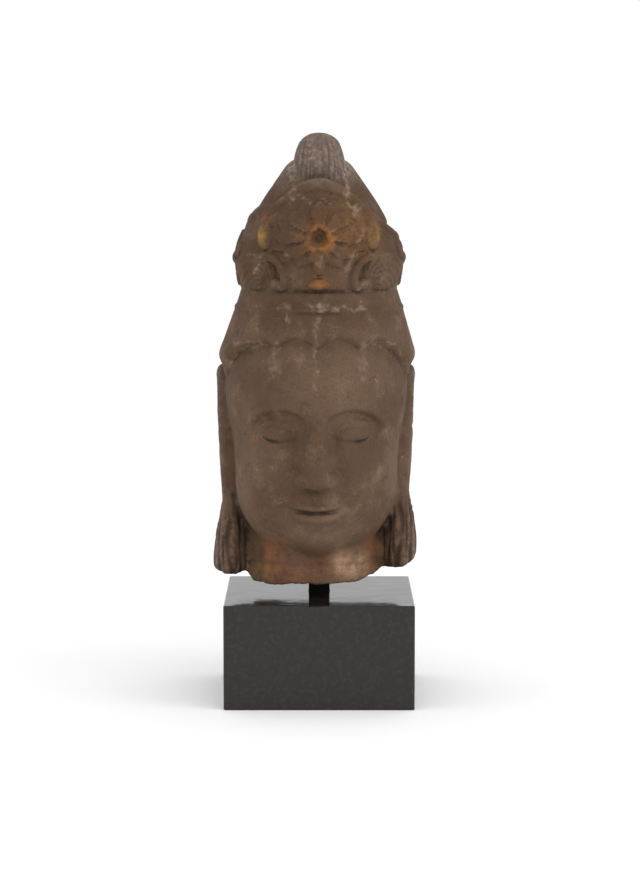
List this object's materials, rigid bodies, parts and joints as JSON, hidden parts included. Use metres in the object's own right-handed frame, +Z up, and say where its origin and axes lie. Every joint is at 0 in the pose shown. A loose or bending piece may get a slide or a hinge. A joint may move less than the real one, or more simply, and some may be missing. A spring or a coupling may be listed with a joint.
{
  "type": "stone bodhisattva head on a plinth",
  "caption": "Weathered carved stone head with a flower crown and topknot, broken at the neck and held on a square rod above a polished dark stone plinth, for display.",
  "frame": {"origin": "centre of the plinth's underside", "axes": "+Z up through the rod and the head, the face looks along -Y, +X to the right as seen from the front"},
  "size_m": [0.166, 0.1768, 0.457],
  "materials": {
    "weathered_stone": "matt, weathered brown stone with pale crust and traces of ochre pigment",
    "black_steel": "satin black paint",
    "polished_black_stone": "polished"
  },
  "bodies": {
    "root": {"stone_head": "weathered_stone", "mounting_rod": "black_steel", "plinth": "polished_black_stone"}
  },
  "joints": []
}
